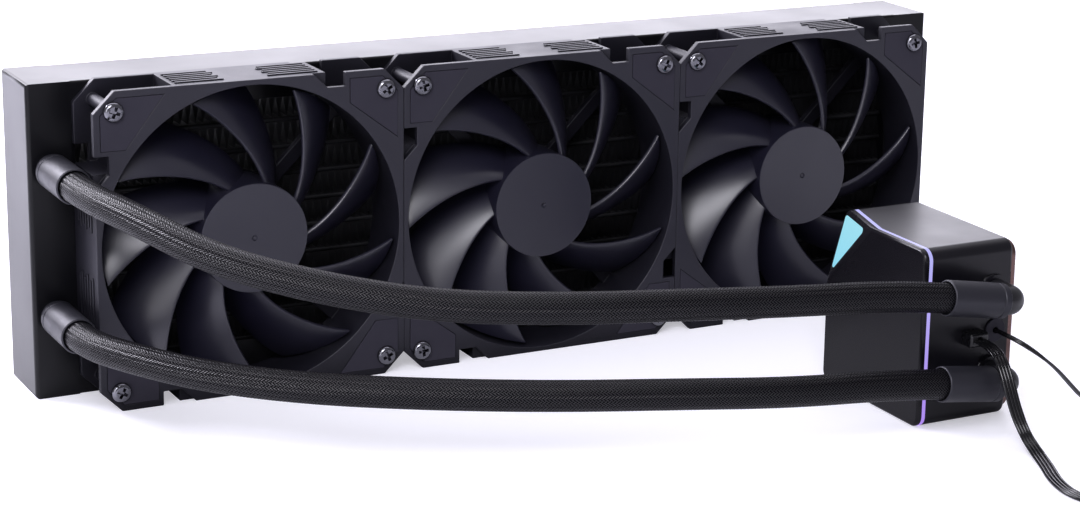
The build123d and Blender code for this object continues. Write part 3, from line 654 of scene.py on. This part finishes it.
# Angle in degrees from +X of the leading and the trailing edge, at shares of the way to the tip
LEAD_ANGLES = (66.5, 83.0, 95.5, 104.0)
TRAIL_ANGLES = (31.0, 55.0, 70.0, 79.5)
ANGLE_SHARES = (0.0, 0.34, 0.70, 1.0)
# Degrees by which each fan has stopped away from the first blade's angles
ROTOR_TURNS = {1: 9.0, 2: 0.0, 3: -8.0}


def smooth_value(shares, values, share):
    """The cubic through four points, at share."""
    total = 0.0
    for i, value in enumerate(values):
        weight = 1.0
        for j, other in enumerate(shares):
            if j != i:
                weight *= (share - other) / (shares[i] - other)
        total += value * weight
    return total


def make_blade(fan_x, front_y, axis_z):
    """One swept blade: a grid laid on cylinders round the axis, with its root sunk in the hub."""
    along, across = BLADE_GRID
    bpy.ops.mesh.primitive_grid_add(x_subdivisions=along, y_subdivisions=across, size=1)
    blade = bpy.context.active_object
    root = HUB_RADIUS - BLADE_SINK
    for point in blade.data.vertices:
        share = point.co.x + 0.5
        chord = point.co.y + 0.5
        radius = root + (TIP_RADIUS - root) * share
        lead = smooth_value(ANGLE_SHARES, LEAD_ANGLES, share)
        trail = smooth_value(ANGLE_SHARES, TRAIL_ANGLES, share)
        angle = math.radians(trail + (lead - trail) * chord)
        depth = BLADE_BACK + (BLADE_FRONT - BLADE_BACK) * chord - BLADE_CAMBER * 4 * chord * (1 - chord)
        point.co = (
            fan_x + radius * math.cos(angle) * MM,
            front_y + depth * MM,
            axis_z + radius * math.sin(angle) * MM,
        )
    apply_modifier(blade, "SOLIDIFY", thickness=BLADE_THICK * MM, offset=0)
    round_edges(blade, BLADE_ROUND, turn=50)
    return blade


def make_rotor(number):
    """A cup-shaped hub with swept blades round it, open at the back."""
    node = "fan_%d_rotor" % number
    low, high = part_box("fan_%d_frame" % number)
    fan_x, axis_z, front_y = (low.x + high.x) / 2, (low.z + high.z) / 2, low.y
    top_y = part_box(node)[0].y
    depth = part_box(node)[1].y - top_y
    bpy.ops.mesh.primitive_cylinder_add(
        vertices=96, radius=HUB_RADIUS * MM, depth=depth,
        location=(fan_x, top_y + depth / 2, axis_z), rotation=(math.pi / 2, 0, 0),
    )
    hub = bpy.context.active_object
    settle(hub)
    bpy.ops.object.mode_set(mode="EDIT")
    shape = bmesh.from_edit_mesh(hub.data)
    for face in shape.faces:
        face.select = face.normal.y > FACING
    bmesh.update_edit_mesh(hub.data)
    bpy.ops.mesh.inset(thickness=HUB_WALL * MM)
    bpy.ops.mesh.extrude_region_move(
        TRANSFORM_OT_translate={"value": (0, HUB_WALL * MM - depth, 0)}
    )
    bpy.ops.mesh.select_all(action="DESELECT")
    shape = bmesh.from_edit_mesh(hub.data)
    for face in shape.faces:
        at_front = face.calc_center_median().y < top_y + HUB_WALL / 2 * MM
        face.select = at_front and face.normal.y < -FACING
    bmesh.update_edit_mesh(hub.data)
    bpy.ops.mesh.inset(thickness=(HUB_RADIUS - DIMPLE_RADIUS) * MM)
    bpy.ops.mesh.extrude_region_move(
        TRANSFORM_OT_translate={"value": (0, DIMPLE_DEPTH * MM, 0)}
    )
    bpy.ops.object.mode_set(mode="OBJECT")
    round_edges(hub, HUB_ROUND)
    blades = [make_blade(fan_x, front_y, axis_z)]
    while len(blades) < BLADES:
        copy = bpy.data.objects.new("blade", blades[0].data.copy())
        bpy.context.scene.collection.objects.link(copy)
        blades.append(copy)
    for i, blade in enumerate(blades):
        turn = math.radians(ROTOR_TURNS[number]) + i * 2 * math.pi / BLADES
        spin(blade, (fan_x, axis_z), turn)
    rotor = join([hub, *blades], node + "_moulded")
    shade(rotor, turn=40)
    wear(rotor, blade_black, node)
    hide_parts(node)


def spin(piece, axis, turn):
    """Turns a mesh about an axis along Y through (x, z), anticlockwise as seen from the front."""
    cosine, sine = math.cos(turn), math.sin(turn)
    for point in piece.data.vertices:
        x, z = point.co.x - axis[0], point.co.z - axis[1]
        point.co.x = axis[0] + x * cosine - z * sine
        point.co.z = axis[1] + x * sine + z * cosine


# Sides of each frame that touch no neighbour and no table, counted clockwise from the top
FREE_SIDES = {1: (0, 3), 2: (0,), 3: (0, 1)}
RIB_GROUPS = ((-28.0, -9.5), (7.5, 27.0))
RIB_ROWS = 6
RIB_WIDTH = 1.3
RIB_HEIGHT = 0.5
RIB_STAGGER = 1.4
RIBS_FROM = 3.4
RIBS_SPAN = 18.2
RIB_ROUND = 0.2


def make_side_ribs(number):
    """Fine ribs in two groups on each free side pad of a frame, with staggered inner ends."""
    low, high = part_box("fan_%d_frame" % number)
    centre = Vector(((low.x + high.x) / 2, 0, (low.z + high.z) / 2))
    half = FAN_SIZE / 2 * MM
    pieces = []
    for side in FREE_SIDES[number]:
        turn = -side * math.pi / 2
        for start, end in RIB_GROUPS:
            for row in range(RIB_ROWS):
                y = low.y + (RIBS_FROM + RIBS_SPAN * (row + 0.5) / RIB_ROWS) * MM
                shift = RIB_STAGGER * (row % 2)
                first, last = (start, end - shift) if start < 0 else (start + shift, end)
                middle = (first + last) / 2 * MM
                bpy.ops.mesh.primitive_cube_add(
                    size=1,
                    location=(
                        centre.x + middle * math.cos(turn) - half * math.sin(turn),
                        y,
                        centre.z + middle * math.sin(turn) + half * math.cos(turn),
                    ),
                    rotation=(0, -turn, 0),
                    scale=((last - first) * MM, RIB_WIDTH * MM, 2 * RIB_HEIGHT * MM),
                )
                rib = bpy.context.active_object
                settle(rib)
                pieces.append(rib)
    ribs = join(pieces, "fan_%d_side_ribs" % number)
    round_edges(ribs, RIB_ROUND)
    shade(ribs)
    wear(ribs, frame_plastic, "fan_%d_frame" % number)


HEAD_RADIUS = 3.5
HEAD_FLARE = 0.3
HEAD_HEIGHT = 1.9
HEAD_DOME = 1.7
SHANK_RADIUS = 1.5
# Length, width and height of the cross recess at its mouth, above the head, and at its floor
RECESS_MOUTH = (4.6, 1.3, -2.3)
RECESS_FLOOR = (2.4, 0.8, -0.25)
# Radians by which a cross is turned: in the first screw, and further by column, row and fan
CROSS_TURN = 0.5
COLUMN_TURN = 0.9
ROW_TURN = 1.7
FAN_TURN = 0.6


def make_screw():
    """A pan head screw with a cross recess, its head's underside at y = 0 and its shank along +Y."""
    bpy.ops.mesh.primitive_cylinder_add(
        vertices=40, radius=(HEAD_RADIUS + HEAD_FLARE) * MM, depth=HEAD_HEIGHT * MM,
        location=(0, -HEAD_HEIGHT / 2 * MM, 0), rotation=(math.pi / 2, 0, 0),
    )
    head = bpy.context.active_object
    settle(head)
    bpy.ops.object.mode_set(mode="EDIT")
    shape = bmesh.from_edit_mesh(head.data)
    for edge in shape.edges:
        edge.select = all(point.co.y < -HEAD_HEIGHT / 2 * MM for point in edge.verts)
    bmesh.update_edit_mesh(head.data)
    bpy.ops.mesh.bevel(offset=HEAD_DOME * MM, segments=6, profile=0.5, affect="EDGES")
    bpy.ops.object.mode_set(mode="OBJECT")
    for turn in (0, math.pi / 2):
        bpy.ops.mesh.primitive_cube_add(size=1, location=(0, 0, 0))
        cutter = bpy.context.active_object
        for point in cutter.data.vertices:
            long, wide, height = RECESS_FLOOR if point.co.y > 0 else RECESS_MOUTH
            x, z = point.co.x * long, point.co.z * wide
            point.co = (
                (x * math.cos(turn) - z * math.sin(turn)) * MM,
                height * MM,
                (x * math.sin(turn) + z * math.cos(turn)) * MM,
            )
        apply_modifier(head, "BOOLEAN", object=cutter, operation="DIFFERENCE", solver="EXACT")
        bpy.data.objects.remove(cutter)
    bpy.ops.mesh.primitive_cylinder_add(
        vertices=20, radius=SHANK_RADIUS * MM, depth=1,
        location=(0, 0.5, 0), rotation=(math.pi / 2, 0, 0),
    )
    shank = bpy.context.active_object
    settle(shank)
    return head, shank


def make_fan_screws(number, head, shank):
    """Four screws in a fan's corners, each with its cross turned another way."""
    node = "fan_%d_screws" % number
    low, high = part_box(node)
    seat = low.y + HEAD_HEIGHT * MM
    pieces = []
    for i, x in enumerate((low.x + HEAD_RADIUS * MM, high.x - HEAD_RADIUS * MM)):
        for j, z in enumerate((low.z + HEAD_RADIUS * MM, high.z - HEAD_RADIUS * MM)):
            turn = CROSS_TURN + COLUMN_TURN * i + ROW_TURN * j + FAN_TURN * number
            top = bpy.data.objects.new("head", head.data.copy())
            stem = bpy.data.objects.new("stem", shank.data.copy())
            for piece in (top, stem):
                bpy.context.scene.collection.objects.link(piece)
            spin(top, (0, 0), turn)
            for point in stem.data.vertices:
                point.co.y *= high.y - seat
            for piece in (top, stem):
                piece.location = (x, seat, z)
                settle(piece)
                pieces.append(piece)
    screws = join(pieces, node + "_plated")
    shade(screws, turn=30)
    wear(screws, screw_plate, node)
    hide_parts(node)


SCREW_SPACING = 105.0
FLANGE_THICK = 4.0
FLANGE_TRIM = 1.4
POST_RADIUS = 4.8
POST_SHARE = 0.5
# Millimetres from a flange's inner side and from a post's wall within which points belong to them
PLANE_REACH = 0.01
ROUND_REACH = 0.05


def refine_frame(piece):
    """Thins a fan frame's flanges on their inner sides, and the four posts between them."""
    spots = [point.co for point in piece.data.vertices]
    front, back = min(spot.y for spot in spots), max(spot.y for spot in spots)
    middle_x = (min(spot.x for spot in spots) + max(spot.x for spot in spots)) / 2
    middle_z = (min(spot.z for spot in spots) + max(spot.z for spot in spots)) / 2
    for spot in spots:
        axis_x = middle_x + math.copysign(SCREW_SPACING / 2 * MM, spot.x - middle_x)
        axis_z = middle_z + math.copysign(SCREW_SPACING / 2 * MM, spot.z - middle_z)
        reach = math.hypot(spot.x - axis_x, spot.z - axis_z)
        for face, inward in ((front, 1), (back, -1)):
            if abs(spot.y - face - inward * FLANGE_THICK * MM) < PLANE_REACH * MM:
                spot.y -= inward * FLANGE_TRIM * MM
                if abs(reach - POST_RADIUS * MM) < ROUND_REACH * MM:
                    spot.x = axis_x + (spot.x - axis_x) * POST_SHARE
                    spot.z = axis_z + (spot.z - axis_z) * POST_SHARE


# Rubber pads nearly fill the gap that the solids leave round them
PAD_GROWTH = 0.24

screw_head, screw_shank = make_screw()
for number in (1, 2, 3):
    fan = "fan_%d_" % number
    dressed(fan + "frame", frame_plastic, 0.35, reshape=refine_frame)
    widen(dressed(fan + "corner_pads", rubber), PAD_GROWTH)
    dressed(fan + "shaft", steel)
    dressed(fan + "bearing", bronze)
    dressed(fan + "stator", winding, 0.2)
    make_rotor(number)
    make_side_ribs(number)
    make_fan_screws(number, screw_head, screw_shank)
bpy.data.objects.remove(screw_head)
bpy.data.objects.remove(screw_shank)


# Hoses and their fittings

for level in ("upper", "lower"):
    dressed("tank_fitting_" + level, ferrule_grey, 0.2)
    dressed("tank_ferrule_" + level, ferrule_grey, 0.15)
    dressed("pump_ferrule_" + level, ferrule_grey, 0.15)
    dressed("elbow_" + level, elbow_black, 0.2)


def line_of(route):
    """Points along the smooth line that a NURBS spline draws through a route in millimetres."""
    curve = bpy.data.curves.new("route", "CURVE")
    curve.dimensions = "3D"
    spline = curve.splines.new("NURBS")
    spline.points.add(len(route) - 1)
    for point, spot in zip(spline.points, route):
        point.co = (*[value * MM for value in spot], 1.0)
    spline.order_u = 3
    spline.use_endpoint_u = True
    spline.resolution_u = 24
    holder = bpy.data.objects.new("route", curve)
    mesh = bpy.data.meshes.new_from_object(holder)
    line = np.array([point.co for point in mesh.vertices], float)
    bpy.data.objects.remove(holder)
    return line


def even_line(line, step):
    """The same line with points about step metres apart, and its length."""
    steps = np.linalg.norm(np.diff(line, axis=0), axis=1)
    moved = steps > 1e-9
    line = line[np.concatenate([[True], moved])]
    distance = np.concatenate([[0], np.cumsum(steps[moved])])
    count = max(int(round(distance[-1] / step)), 8)
    wanted = np.linspace(0, distance[-1], count + 1)
    evened = np.stack([np.interp(wanted, distance, line[:, i]) for i in range(3)], axis=1)
    return evened, distance[-1]


def ways_along(line):
    """The direction of a line at each of its points."""
    ahead = np.gradient(line, axis=0)
    return ahead / np.linalg.norm(ahead, axis=1)[:, None]


def carried_axes(line, side):
    """At each point, two axes square to the line, carried along it without twist."""
    ahead = ways_along(line)
    sides = np.zeros_like(line)
    side = np.array(side, float)
    for i, way in enumerate(ahead):
        side = side - way * side.dot(way)
        side = side / np.linalg.norm(side)
        sides[i] = side
    return sides, np.cross(ahead, sides)


def tube_mesh(name, points, cells=None):
    """A closed mesh over rings of points, with an optional UV map that counts braid cells."""
    rings, count = points.shape[:2]
    corners = points.reshape(-1, 3)
    first = np.arange(rings * count).reshape(rings, count)
    quads = np.stack([
        first[:-1], np.roll(first, -1, axis=1)[:-1], np.roll(first, -1, axis=1)[1:], first[1:],
    ], axis=2).reshape(-1, 4)
    faces = [tuple(quad) for quad in quads.tolist()]
    faces.append(tuple(first[0][::-1].tolist()))
    faces.append(tuple(first[-1].tolist()))
    mesh = bpy.data.meshes.new(name)
    mesh.from_pydata(corners.tolist(), [], faces)
    if cells is not None:
        around, along = cells
        layer = mesh.uv_layers.new(name="braid")
        u = np.arange(count + 1) * around / count
        v = np.linspace(0, along, rings)
        grid_u = np.stack([u[:-1], u[1:], u[1:], u[:-1]], axis=1)[None].repeat(rings - 1, axis=0)
        grid_v = np.stack([v[:-1], v[:-1], v[1:], v[1:]], axis=1)[:, None].repeat(count, axis=1)
        flat = np.zeros((len(mesh.loops), 2), np.float32)
        flat[:quads.size] = np.stack([grid_u, grid_v], axis=3).reshape(-1, 2)
        layer.data.foreach_set("uv", flat.ravel())
    mesh.validate()
    piece = bpy.data.objects.new(name, mesh)
    bpy.context.scene.collection.objects.link(piece)
    return piece


HOSE_DIAMETER = 11.2
# Braid cells round the hose, the length of one along it, and the points each way in one
BRAID_AROUND = 36
BRAID_CELL = 1.3
SAMPLES = 3
STRAND_RISE = 0.26
# Share of the rise that a strand keeps where it dives under another
CROSSING_RISE = 0.55
# Part of a cell by which points are shifted along the hose, off the low crossings
BRAID_SHIFT = 0.125


def braid_relief(u, v):
    """Height from 0 to 1 of a two over, two under braid at cell coordinates u round and v along."""
    right, left = u + v, u - v
    turn = np.mod(np.floor(right) + np.floor(left), 4)
    over = turn < 1.5
    across = np.where(over, left, right)
    floats = np.where(over, right + np.floor(left), left + np.floor(right) - 2)
    along = np.sin(np.pi * np.clip(np.mod(floats, 4) / 2, 0, 1))
    return np.sin(np.pi * np.mod(across, 1)) * (CROSSING_RISE + (1 - CROSSING_RISE) * along)


def make_hose(level, route):
    """A hose with a raised braid, from the tank's ferrule to the elbow's, which it follows."""
    node = "hose_" + level
    line, length = even_line(line_of(route), BRAID_CELL / SAMPLES * MM)
    sides, ups = carried_axes(line, (0, 0, 1))
    count = BRAID_AROUND * SAMPLES
    cells_along = round(length / (BRAID_CELL * MM))
    u = np.arange(count) * BRAID_AROUND / count
    v = np.linspace(0, cells_along, len(line))
    relief = braid_relief(u[None, :], v[:, None] + BRAID_SHIFT)
    radius = (HOSE_DIAMETER / 2 - STRAND_RISE + STRAND_RISE * relief) * MM
    angle = np.linspace(0, 2 * math.pi, count, endpoint=False)
    points = (
        line[:, None]
        + radius[..., None] * np.cos(angle)[None, :, None] * sides[:, None]
        + radius[..., None] * np.sin(angle)[None, :, None] * ups[:, None]
    )
    hose = tube_mesh(node + "_braided", points, (BRAID_AROUND, cells_along))
    for face in hose.data.polygons:
        face.use_smooth = True
    hose.data.materials.append(braid)
    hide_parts(node)
    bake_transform(hose)


upper_route = [
    (-188.0, -38.65, 87.0), (-188.0, -59.4, 87.0), (-179.9, -90.0, 85.2), (-165.0, -121.8, 77.9),
    (-140.1, -149.7, 72.8), (-106.6, -172.0, 68.0), (-65.5, -187.2, 66.1), (-21.5, -195.0, 64.2),
    (20.0, -197.9, 61.0), (61.13, -197.6, 57.88), (87.76, -197.6, 53.42),
]
lower_route = [
    (-188.0, -38.65, 31.5), (-188.0, -53.6, 31.5), (-179.4, -77.5, 32.0), (-162.3, -103.9, 31.0),
    (-134.8, -130.2, 30.6), (-100.2, -152.8, 30.5), (-60.9, -171.4, 29.8), (-19.3, -185.2, 28.8),
    (20.4, -194.2, 26.4), (60.86, -197.6, 24.52), (87.63, -197.6, 21.0),
]
make_hose("upper", upper_route)
make_hose("lower", lower_route)


# Cables: flat ribbons of round wires, from the pump block to their connectors

lead_exit = [
    (116.0, -183.0, 34.0), (116.0, -191.5, 34.0), (119.0, -197.5, 32.0), (126.0, -199.6, 27.0),
    (135.0, -198.6, 20.0), (143.5, -196.4, 12.2), (152.0, -194.0, 4.8), (160.0, -192.4, 1.3),
    (171.0, -191.7, 1.2),
]
ribbon_exit = [
    (104.8, -187.0, 33.0), (104.8, -196.5, 33.0), (104.0, -204.5, 30.0), (103.8, -210.0, 22.5),
    (105.2, -213.0, 13.0), (106.5, -218.0, 5.0), (105.5, -226.0, 1.6), (100.5, -239.0, 1.0),
    (94.5, -251.5, 0.9), (91.5, -265.0, 0.9), (95.6, -277.0, 0.9),
]


COIL_POINTS = 14


def coil_route(middle, radius, start_angle, turns, rise, floor):
    """Points round a stacked coil, anticlockwise from start_angle in degrees."""
    spots = []
    reach = radius / math.cos(math.pi / COIL_POINTS) ** 0.5
    for i in range(round(turns * COIL_POINTS) + 1):
        angle = math.radians(start_angle) + i * 2 * math.pi / COIL_POINTS
        height = floor + rise * i / COIL_POINTS
        x = middle[0] + reach * math.cos(angle)
        y = middle[1] + reach * math.sin(angle)
        spots.append((x, y, height))
    return spots


# Distance between neighbouring wires of a ribbon, in wire radii, and steps round each wire
WIRE_PITCH = 1.92
WIRE_STEPS = 7


def ribbon_section(wires, wire_radius):
    """The outline of round wires fused side by side, as (across, out) pairs."""
    pitch = WIRE_PITCH * wire_radius
    upper = []
    reach = math.acos(min(1, pitch / 2 / wire_radius))
    for wire in range(wires):
        middle = (wire - (wires - 1) / 2) * pitch
        first = math.pi if wire == 0 else math.pi - reach
        last = 0 if wire == wires - 1 else reach
        for step in range(WIRE_STEPS + 1):
            angle = first + (last - first) * step / WIRE_STEPS
            upper.append((middle + wire_radius * math.cos(angle), wire_radius * math.sin(angle)))
    lower = [(x, -y) for x, y in reversed(upper[1:-1])]
    return np.array(upper + lower) * MM


CABLE_STEP = 1.2
# Where this share of a cable's direction is level, its wide side turns level, a part at each step
LEVEL_ENOUGH = 0.5
LEVELLING = 0.15
# Share of a cable's length over which it turns from its wide side onto its edge
EDGE_TURN = 0.04


def make_cable(name, node, route, wires, wire_radius, upright_from):
    """A flat cable on its wide side, and on edge from the share upright_from of its length on."""
    line, length = even_line(line_of(route), CABLE_STEP * MM)
    flat = np.array([1.0, 0.0, 0.0])
    outline = ribbon_section(wires, wire_radius)
    rings = []
    for i, way in enumerate(ways_along(line)):
        share = i / len(line)
        level = np.cross(way, (0, 0, 1))
        if np.linalg.norm(level) > LEVEL_ENOUGH:
            level = level / np.linalg.norm(level)
            level = level if level.dot(flat) >= 0 else -level
            flat = (1 - LEVELLING) * flat + LEVELLING * level
        upright = min(max((share - upright_from) / EDGE_TURN, 0), 1)
        side = flat * (1 - upright) + np.array([0.0, 0.0, 1.0]) * upright
        side = side - way * side.dot(way)
        side /= np.linalg.norm(side)
        out = np.cross(way, side)
        rings.append(line[i] + outline[:, :1] * side + outline[:, 1:] * out)
    cable = tube_mesh(name, np.array(rings))
    take(cable)
    bpy.ops.object.mode_set(mode="EDIT")
    bpy.ops.mesh.select_all(action="SELECT")
    bpy.ops.mesh.normals_make_consistent(inside=False)
    bpy.ops.object.mode_set(mode="OBJECT")
    bpy.ops.object.shade_smooth_by_angle(angle=math.radians(40))
    wear(cable, vinyl, node)
    return cable


dressed("cable_grommet", rubber, 0.3)
for node in ("ribbon_plug", "lead_connector", "ribbon_connector"):
    dressed(node, nylon, 0.25)

lead_middle, lead_radius = (190.0, -178.5), 13.0
lead_turns = coil_route(lead_middle, lead_radius, -90, 3.25, 2.3, 1.2)
low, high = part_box("lead_connector")
lead_mouth = (203.0, low.y / MM, (low.z + high.z) / 2 / MM)
lead_tail = [(203.0, -172.0, lead_turns[-1][2] - 0.6), (203.0, low.y / MM - 3, 4.0), lead_mouth]
lead = make_cable(
    "cable_lead_wires", "cable_lead", lead_exit + lead_turns + lead_tail, 2, 0.6, 0.22,
)
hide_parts("cable_lead", "cable_lead_coil")

ribbon_middle, ribbon_radius = (134.0, -274.0), 27.0
ribbon_turns = coil_route(ribbon_middle, ribbon_radius, -135, 1.5, 1.4, 0.9)
ribbon_end = math.radians(45)
ribbon_out = Vector((math.cos(ribbon_end), math.sin(ribbon_end), 0))
ribbon_way = Vector((-ribbon_out.y, ribbon_out.x, 0))
start = Vector((*ribbon_middle, 0)) + ribbon_out * ribbon_radius
ribbon_tail = [
    tuple(start + ribbon_way * past + Vector((0, 0, height)))
    for past, height in ((10, 3.0), (18, 2.9), (24.6, 2.8))
]
ribbon = make_cable(
    "cable_ribbon_wires", "cable_ribbon", ribbon_exit + ribbon_turns + ribbon_tail, 4, 0.7, 2.0,
)
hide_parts("cable_ribbon", "cable_ribbon_coil")


# Pump block

dressed("pump_housing", lacquer)
dressed("pump_display_cap", display, 0.3)
light_strip = glow("lit_strip", "#B48CF8", "#BDBCFF", 0.0, 0.068, 0.9)
light_corner = glow("lit_window", "#8FE4FF", "#A6EEFF", 0.036, 0.066, 0.85)
dressed("pump_light_ring", light_strip, 0.1)
dressed("pump_light_window", light_corner)
dressed("pump_cold_plate", copper, 0.15)
dressed("pump_plate_screws", screw_plate, 0.3)
dressed("pump_gasket", rubber)
dressed("pump_chamber", elbow_black)
dressed("pump_impeller", elbow_black)
dressed("pump_shaft", steel)
dressed("pump_stator", winding)
dressed("pump_board", board_green)
